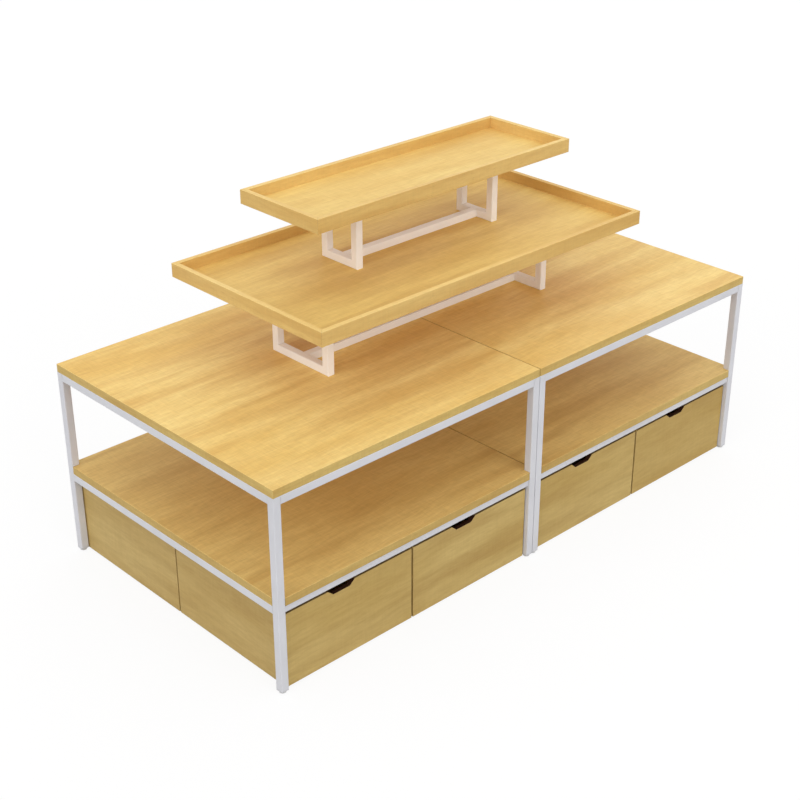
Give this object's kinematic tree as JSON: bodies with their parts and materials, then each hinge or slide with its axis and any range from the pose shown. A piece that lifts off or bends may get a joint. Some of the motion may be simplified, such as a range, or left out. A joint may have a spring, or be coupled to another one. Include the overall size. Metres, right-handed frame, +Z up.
{
  "type": "display table with drawers",
  "caption": "Long retail display table: welded steel frames, wooden tops and shelves, roll-out wooden boxes under the shelves and two stacked tray risers on top.",
  "frame": {"origin": "on the floor, in the middle of the table's length and depth", "axes": "+X along the table's long side to the right seen from the front, -Y to the front, +Z up"},
  "size_m": [2.402, 1.2, 1.343],
  "materials": {
    "frame_paint": "satin powder coat, cool white",
    "riser_paint": "satin powder coat, warm cream",
    "top_wood": "matt lacquered light maple veneer",
    "shelf_wood": "matt lacquered light maple veneer",
    "tray_wood": "matt lacquered light maple veneer",
    "rim_wood": "matt lacquered light maple",
    "box_front_wood": "matt lacquered light maple veneer",
    "box_wood": "matt lacquered light maple veneer",
    "plug_plastic": "moulded, fine grained",
    "foot_nylon": "moulded nylon",
    "zinc_steel": "zinc plated",
    "wheel_plastic": "moulded, smooth"
  },
  "bodies": {
    "table": {"left_legs": "frame_paint", "left_rails": "frame_paint", "left_top_board": "top_wood", "left_shelf_board": "shelf_wood", "right_legs": "frame_paint", "right_rails": "frame_paint", "right_top_board": "top_wood", "right_shelf_board": "shelf_wood", "leg_plugs": "plug_plastic", "levelling_feet": "foot_nylon", "board_screws": "zinc_steel", "link_bolts": "zinc_steel"},
    "drawer_1": {"drawer_1_front": "box_front_wood", "drawer_1_carcass": "box_wood", "drawer_1_casters": "zinc_steel"},
    "drawer_2": {"drawer_2_front": "box_front_wood", "drawer_2_carcass": "box_wood", "drawer_2_casters": "zinc_steel"},
    "drawer_3": {"drawer_3_front": "box_front_wood", "drawer_3_carcass": "box_wood", "drawer_3_casters": "zinc_steel"},
    "drawer_4": {"drawer_4_front": "box_front_wood", "drawer_4_carcass": "box_wood", "drawer_4_casters": "zinc_steel"},
    "drawer_5": {"drawer_5_front": "box_front_wood", "drawer_5_carcass": "box_wood", "drawer_5_casters": "zinc_steel"},
    "drawer_6": {"drawer_6_front": "box_front_wood", "drawer_6_carcass": "box_wood", "drawer_6_casters": "zinc_steel"},
    "drawer_7": {"drawer_7_front": "box_front_wood", "drawer_7_carcass": "box_wood", "drawer_7_casters": "zinc_steel"},
    "drawer_8": {"drawer_8_front": "box_front_wood", "drawer_8_carcass": "box_wood", "drawer_8_casters": "zinc_steel"},
    "drawer_1_front_wheels": {"drawer_1_front_wheels": "wheel_plastic"},
    "drawer_1_rear_wheels": {"drawer_1_rear_wheels": "wheel_plastic"},
    "drawer_2_front_wheels": {"drawer_2_front_wheels": "wheel_plastic"},
    "drawer_2_rear_wheels": {"drawer_2_rear_wheels": "wheel_plastic"},
    "drawer_3_front_wheels": {"drawer_3_front_wheels": "wheel_plastic"},
    "drawer_3_rear_wheels": {"drawer_3_rear_wheels": "wheel_plastic"},
    "drawer_4_front_wheels": {"drawer_4_front_wheels": "wheel_plastic"},
    "drawer_4_rear_wheels": {"drawer_4_rear_wheels": "wheel_plastic"},
    "drawer_5_front_wheels": {"drawer_5_front_wheels": "wheel_plastic"},
    "drawer_5_rear_wheels": {"drawer_5_rear_wheels": "wheel_plastic"},
    "drawer_6_front_wheels": {"drawer_6_front_wheels": "wheel_plastic"},
    "drawer_6_rear_wheels": {"drawer_6_rear_wheels": "wheel_plastic"},
    "drawer_7_front_wheels": {"drawer_7_front_wheels": "wheel_plastic"},
    "drawer_7_rear_wheels": {"drawer_7_rear_wheels": "wheel_plastic"},
    "drawer_8_front_wheels": {"drawer_8_front_wheels": "wheel_plastic"},
    "drawer_8_rear_wheels": {"drawer_8_rear_wheels": "wheel_plastic"},
    "middle_riser": {"middle_riser_frame": "riser_paint", "middle_tray_floor": "tray_wood", "middle_tray_rims": "rim_wood", "middle_tray_screws": "zinc_steel"},
    "top_riser": {"top_riser_frame": "riser_paint", "top_tray_floor": "tray_wood", "top_tray_rims": "rim_wood", "top_tray_screws": "zinc_steel"}
  },
  "joints": [
    {"name": "drawer_1_roll", "type": "slide", "parent": "table", "child": "drawer_1", "axis": [0, -1, 0], "range_m": [0, 0.6]},
    {"name": "drawer_2_roll", "type": "slide", "parent": "table", "child": "drawer_2", "axis": [0, -1, 0], "range_m": [0, 0.6]},
    {"name": "drawer_3_roll", "type": "slide", "parent": "table", "child": "drawer_3", "axis": [0, -1, 0], "range_m": [0, 0.6]},
    {"name": "drawer_4_roll", "type": "slide", "parent": "table", "child": "drawer_4", "axis": [0, -1, 0], "range_m": [0, 0.6]},
    {"name": "drawer_5_roll", "type": "slide", "parent": "table", "child": "drawer_5", "axis": [0, 1, 0], "range_m": [0, 0.6]},
    {"name": "drawer_6_roll", "type": "slide", "parent": "table", "child": "drawer_6", "axis": [0, 1, 0], "range_m": [0, 0.6]},
    {"name": "drawer_7_roll", "type": "slide", "parent": "table", "child": "drawer_7", "axis": [0, 1, 0], "range_m": [0, 0.6]},
    {"name": "drawer_8_roll", "type": "slide", "parent": "table", "child": "drawer_8", "axis": [0, 1, 0], "range_m": [0, 0.6]},
    {"name": "drawer_1_front_wheels_turn", "type": "hinge", "parent": "drawer_1", "child": "drawer_1_front_wheels", "pos_m": [-0.886, -0.513, 0.02], "axis": [1, 0, 0], "continuous": true},
    {"name": "drawer_1_rear_wheels_turn", "type": "hinge", "parent": "drawer_1", "child": "drawer_1_rear_wheels", "pos_m": [-0.886, -0.073, 0.02], "axis": [1, 0, 0], "continuous": true},
    {"name": "drawer_2_front_wheels_turn", "type": "hinge", "parent": "drawer_2", "child": "drawer_2_front_wheels", "pos_m": [-0.316, -0.513, 0.02], "axis": [1, 0, 0], "continuous": true},
    {"name": "drawer_2_rear_wheels_turn", "type": "hinge", "parent": "drawer_2", "child": "drawer_2_rear_wheels", "pos_m": [-0.316, -0.073, 0.02], "axis": [1, 0, 0], "continuous": true},
    {"name": "drawer_3_front_wheels_turn", "type": "hinge", "parent": "drawer_3", "child": "drawer_3_front_wheels", "pos_m": [0.316, -0.513, 0.02], "axis": [1, 0, 0], "continuous": true},
    {"name": "drawer_3_rear_wheels_turn", "type": "hinge", "parent": "drawer_3", "child": "drawer_3_rear_wheels", "pos_m": [0.316, -0.073, 0.02], "axis": [1, 0, 0], "continuous": true},
    {"name": "drawer_4_front_wheels_turn", "type": "hinge", "parent": "drawer_4", "child": "drawer_4_front_wheels", "pos_m": [0.886, -0.513, 0.02], "axis": [1, 0, 0], "continuous": true},
    {"name": "drawer_4_rear_wheels_turn", "type": "hinge", "parent": "drawer_4", "child": "drawer_4_rear_wheels", "pos_m": [0.886, -0.073, 0.02], "axis": [1, 0, 0], "continuous": true},
    {"name": "drawer_5_front_wheels_turn", "type": "hinge", "parent": "drawer_5", "child": "drawer_5_front_wheels", "pos_m": [-0.886, 0.513, 0.02], "axis": [1, 0, 0], "continuous": true},
    {"name": "drawer_5_rear_wheels_turn", "type": "hinge", "parent": "drawer_5", "child": "drawer_5_rear_wheels", "pos_m": [-0.886, 0.073, 0.02], "axis": [1, 0, 0], "continuous": true},
    {"name": "drawer_6_front_wheels_turn", "type": "hinge", "parent": "drawer_6", "child": "drawer_6_front_wheels", "pos_m": [-0.316, 0.513, 0.02], "axis": [1, 0, 0], "continuous": true},
    {"name": "drawer_6_rear_wheels_turn", "type": "hinge", "parent": "drawer_6", "child": "drawer_6_rear_wheels", "pos_m": [-0.316, 0.073, 0.02], "axis": [1, 0, 0], "continuous": true},
    {"name": "drawer_7_front_wheels_turn", "type": "hinge", "parent": "drawer_7", "child": "drawer_7_front_wheels", "pos_m": [0.316, 0.513, 0.02], "axis": [1, 0, 0], "continuous": true},
    {"name": "drawer_7_rear_wheels_turn", "type": "hinge", "parent": "drawer_7", "child": "drawer_7_rear_wheels", "pos_m": [0.316, 0.073, 0.02], "axis": [1, 0, 0], "continuous": true},
    {"name": "drawer_8_front_wheels_turn", "type": "hinge", "parent": "drawer_8", "child": "drawer_8_front_wheels", "pos_m": [0.886, 0.513, 0.02], "axis": [1, 0, 0], "continuous": true},
    {"name": "drawer_8_rear_wheels_turn", "type": "hinge", "parent": "drawer_8", "child": "drawer_8_rear_wheels", "pos_m": [0.886, 0.073, 0.02], "axis": [1, 0, 0], "continuous": true},
    {"name": "middle_riser_lift", "type": "slide", "parent": "table", "child": "middle_riser", "axis": [0, 0, 1], "range_m": [0, 0.2]},
    {"name": "top_riser_lift", "type": "slide", "parent": "middle_riser", "child": "top_riser", "axis": [0, 0, 1], "range_m": [0, 0.2]}
  ],
  "couplings": [
    {"joint": "drawer_1_front_wheels_turn", "follows": "drawer_1_roll", "rad_per_m": 50},
    {"joint": "drawer_1_rear_wheels_turn", "follows": "drawer_1_roll", "rad_per_m": 50},
    {"joint": "drawer_2_front_wheels_turn", "follows": "drawer_2_roll", "rad_per_m": 50},
    {"joint": "drawer_2_rear_wheels_turn", "follows": "drawer_2_roll", "rad_per_m": 50},
    {"joint": "drawer_3_front_wheels_turn", "follows": "drawer_3_roll", "rad_per_m": 50},
    {"joint": "drawer_3_rear_wheels_turn", "follows": "drawer_3_roll", "rad_per_m": 50},
    {"joint": "drawer_4_front_wheels_turn", "follows": "drawer_4_roll", "rad_per_m": 50},
    {"joint": "drawer_4_rear_wheels_turn", "follows": "drawer_4_roll", "rad_per_m": 50},
    {"joint": "drawer_5_front_wheels_turn", "follows": "drawer_5_roll", "rad_per_m": -50},
    {"joint": "drawer_5_rear_wheels_turn", "follows": "drawer_5_roll", "rad_per_m": -50},
    {"joint": "drawer_6_front_wheels_turn", "follows": "drawer_6_roll", "rad_per_m": -50},
    {"joint": "drawer_6_rear_wheels_turn", "follows": "drawer_6_roll", "rad_per_m": -50},
    {"joint": "drawer_7_front_wheels_turn", "follows": "drawer_7_roll", "rad_per_m": -50},
    {"joint": "drawer_7_rear_wheels_turn", "follows": "drawer_7_roll", "rad_per_m": -50},
    {"joint": "drawer_8_front_wheels_turn", "follows": "drawer_8_roll", "rad_per_m": -50},
    {"joint": "drawer_8_rear_wheels_turn", "follows": "drawer_8_roll", "rad_per_m": -50}
  ]
}
